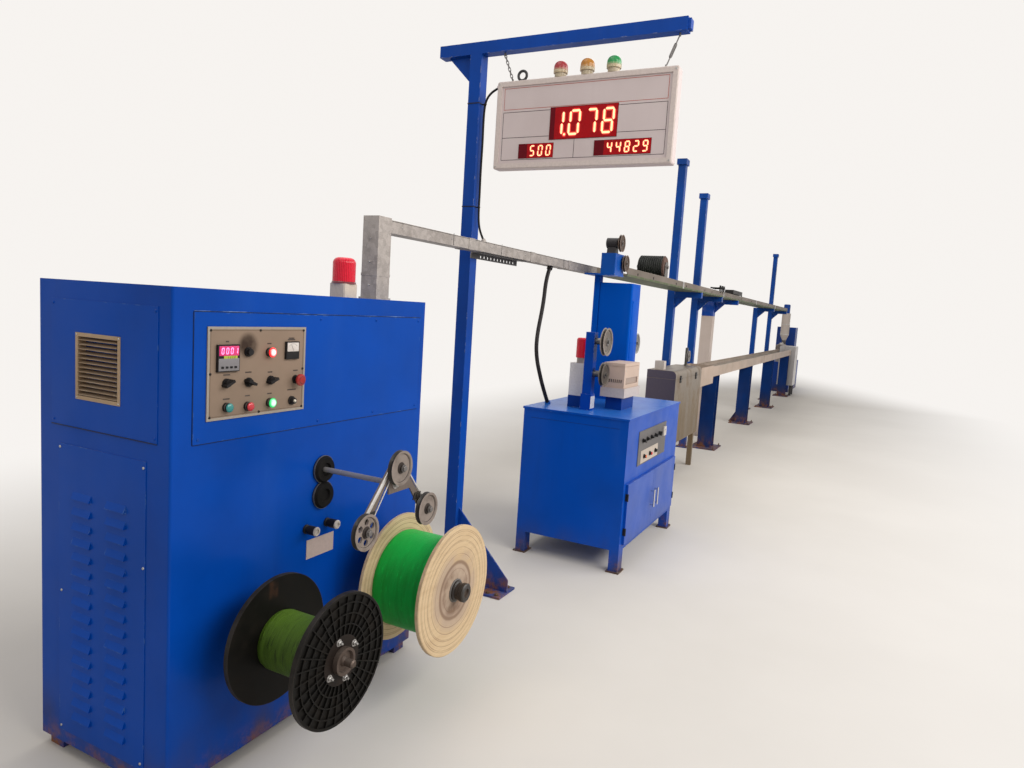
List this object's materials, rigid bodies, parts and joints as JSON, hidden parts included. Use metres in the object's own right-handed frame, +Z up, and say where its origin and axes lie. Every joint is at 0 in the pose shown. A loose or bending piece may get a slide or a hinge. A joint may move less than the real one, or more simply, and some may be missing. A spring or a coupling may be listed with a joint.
{
  "type": "cable insulation extrusion line",
  "caption": "Floor standing wire insulation line: twin reel take-up, display post, capstan desk with spark tester, stacked cooling troughs on posts and an extruder at the far end.",
  "frame": {"origin": "centre of the take-up cabinet's base, on the floor", "axes": "+X along the line from the take-up towards the extruder, +Z up, the operator's aisle on -Y"},
  "size_m": [18.802, 1.51, 3.29],
  "materials": {
    "cabinet_blue": "satin enamel, scuffed",
    "panel_blue": "satin enamel",
    "panel_taupe": "semi matt, sooty",
    "vent_beige": "dusty",
    "dark_plastic": "matt",
    "galvanised": "worn",
    "zinc_grey": "dull zinc",
    "stainless": "brushed, stained",
    "cast_steel": "machined",
    "lamp_red": "translucent",
    "rubber_black": "matt",
    "reel_black": "satin",
    "plywood": "raw",
    "wire_green": "satin",
    "wire_dull": "satin",
    "pulley_grey": "turned",
    "pulley_dark": "worn",
    "post_blue": "satin enamel",
    "desk_blue": "semi gloss enamel",
    "board_frame": "satin",
    "trough_grey": "stained",
    "trough_cream": "stained",
    "box_white": "powder coat",
    "tester_cream": "semi gloss",
    "drum_black": "worn",
    "rust_brown": "rusty",
    "cord_black": "satin"
  },
  "bodies": {
    "line": {"takeup_cabinet": "cabinet_blue", "takeup_panels": "panel_blue", "takeup_vent_grille": "vent_beige", "takeup_control_panel": "panel_taupe", "takeup_controls": "dark_plastic", "takeup_beacon": "lamp_red", "traverse_boots": "rubber_black", "takeup_push_knobs": "dark_plastic", "spindle_bearings": "cast_steel", "display_post": "post_blue", "display_board": "board_frame", "signal_lamps": "lamp_red", "board_hangers": "galvanised", "display_cable": "cord_black", "cable_trunking": "zinc_grey", "capstan_desk": "desk_blue", "desk_panel": "panel_taupe", "desk_hose": "cord_black", "guide_column": "desk_blue", "spark_tester": "tester_cream", "desk_pedestals": "desk_blue", "switch_box": "box_white", "capstan_housing": "desk_blue", "head_bracket": "desk_blue", "upper_trough": "trough_grey", "drum_bearing_plates": "rust_brown", "wiper_box": "cast_steel", "upper_uprights": "post_blue", "box_column": "trough_cream", "lower_trough": "trough_cream", "trough_end_box": "trough_cream", "trough_posts": "post_blue", "cooling_tank": "stainless", "die_end_tank": "stainless", "extruder_base": "post_blue", "extruder_barrel": "stainless", "extruder_drive": "desk_blue", "material_hopper": "box_white"},
    "black_reel_set": {"black_spindle": "galvanised", "black_reel": "reel_black", "black_winding": "wire_dull"},
    "pale_reel_set": {"pale_spindle": "cast_steel", "pale_reel": "plywood", "pale_winding": "wire_green"},
    "traverse": {"traverse_rod": "galvanised", "traverse_arm": "pulley_grey"},
    "traverse_top_wheel": {"traverse_top_pulley": "pulley_grey"},
    "traverse_left_wheel": {"traverse_left_pulley": "pulley_grey"},
    "traverse_right_wheel": {"traverse_right_pulley": "pulley_grey"},
    "column_upper_wheel": {"column_pulley_upper": "pulley_grey"},
    "column_lower_wheel": {"column_pulley_lower": "pulley_dark"},
    "capstan_wheel": {"capstan_sheave": "pulley_grey"},
    "head_upper_wheel": {"head_pulley_upper": "pulley_dark"},
    "head_lower_wheel": {"head_pulley_lower": "pulley_dark"},
    "drum": {"grooved_drum": "drum_black"},
    "tank_wheel": {"tank_sheave": "pulley_dark"},
    "left_door": {"desk_door_left": "desk_blue"},
    "right_door": {"desk_door_right": "desk_blue"}
  },
  "joints": [
    {"name": "black_reel_spin", "type": "hinge", "parent": "line", "child": "black_reel_set", "pos_m": [-0.332, -0.585, 0.47], "axis": [0, 1, 0], "continuous": true},
    {"name": "pale_reel_spin", "type": "hinge", "parent": "line", "child": "pale_reel_set", "pos_m": [0.348, -0.585, 0.47], "axis": [0, 1, 0], "continuous": true},
    {"name": "traverse_slide", "type": "slide", "parent": "line", "child": "traverse", "axis": [0, 1, 0], "range_m": [-0.04, 0.2]},
    {"name": "traverse_top_spin", "type": "hinge", "parent": "traverse", "child": "traverse_top_wheel", "pos_m": [0.008, -0.672, 1.018], "axis": [0, 1, 0], "continuous": true},
    {"name": "traverse_left_spin", "type": "hinge", "parent": "traverse", "child": "traverse_left_wheel", "pos_m": [-0.173, -0.672, 0.831], "axis": [0, 1, 0], "continuous": true},
    {"name": "traverse_right_spin", "type": "hinge", "parent": "traverse", "child": "traverse_right_wheel", "pos_m": [0.189, -0.672, 0.831], "axis": [0, 1, 0], "continuous": true},
    {"name": "column_upper_spin", "type": "hinge", "parent": "line", "child": "column_upper_wheel", "pos_m": [2.34, -0.576, 1.422], "axis": [0, 1, 0], "continuous": true},
    {"name": "column_lower_spin", "type": "hinge", "parent": "line", "child": "column_lower_wheel", "pos_m": [2.34, -0.576, 1.212], "axis": [0, 1, 0], "continuous": true},
    {"name": "capstan_spin", "type": "hinge", "parent": "line", "child": "capstan_wheel", "pos_m": [3.297, -0.475, 1.39], "axis": [0, 1, 0], "continuous": true},
    {"name": "head_upper_spin", "type": "hinge", "parent": "line", "child": "head_upper_wheel", "pos_m": [2.938, -0.424, 2.108], "axis": [0, 1, 0], "continuous": true},
    {"name": "head_lower_spin", "type": "hinge", "parent": "line", "child": "head_lower_wheel", "pos_m": [3.068, -0.424, 1.975], "axis": [0, 1, 0], "continuous": true},
    {"name": "drum_spin", "type": "hinge", "parent": "line", "child": "drum", "pos_m": [4.29, -0.27, 2.045], "axis": [0, 1, 0], "continuous": true},
    {"name": "tank_sheave_spin", "type": "hinge", "parent": "line", "child": "tank_wheel", "pos_m": [5.78, -0.3175, 1.2], "axis": [0, 1, 0], "continuous": true},
    {"name": "left_door_hinge", "type": "hinge", "parent": "line", "child": "left_door", "pos_m": [2.185, -0.8463, 0.3675], "axis": [0, 0, 1], "range_deg": [-105, 0]},
    {"name": "right_door_hinge", "type": "hinge", "parent": "line", "child": "right_door", "pos_m": [3.335, -0.8463, 0.3675], "axis": [0, 0, 1], "range_deg": [0, 105]}
  ]
}
